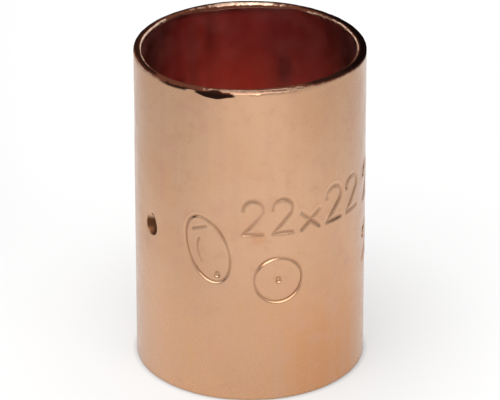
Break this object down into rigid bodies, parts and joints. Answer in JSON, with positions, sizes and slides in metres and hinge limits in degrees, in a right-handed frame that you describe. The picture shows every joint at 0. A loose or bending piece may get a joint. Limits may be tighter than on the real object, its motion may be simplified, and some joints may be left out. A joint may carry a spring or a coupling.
{
  "type": "straight solder pipe coupling",
  "caption": "Short copper tube coupling with an equal solder socket at each end, punched pipe stops at mid-length and shallow size marks.",
  "frame": {"origin": "centre of the lower end face, on the axis of the bore", "axes": "+Z along the bore from the lower end to the upper end; -Y is the front with the ring mark and the size mark"},
  "size_m": [0.024, 0.024, 0.0347],
  "materials": {
    "copper": "bright drawn copper, satin outside, dark red oxide film in the bore"
  },
  "bodies": {
    "root": {"coupling_body": "copper"}
  },
  "joints": []
}
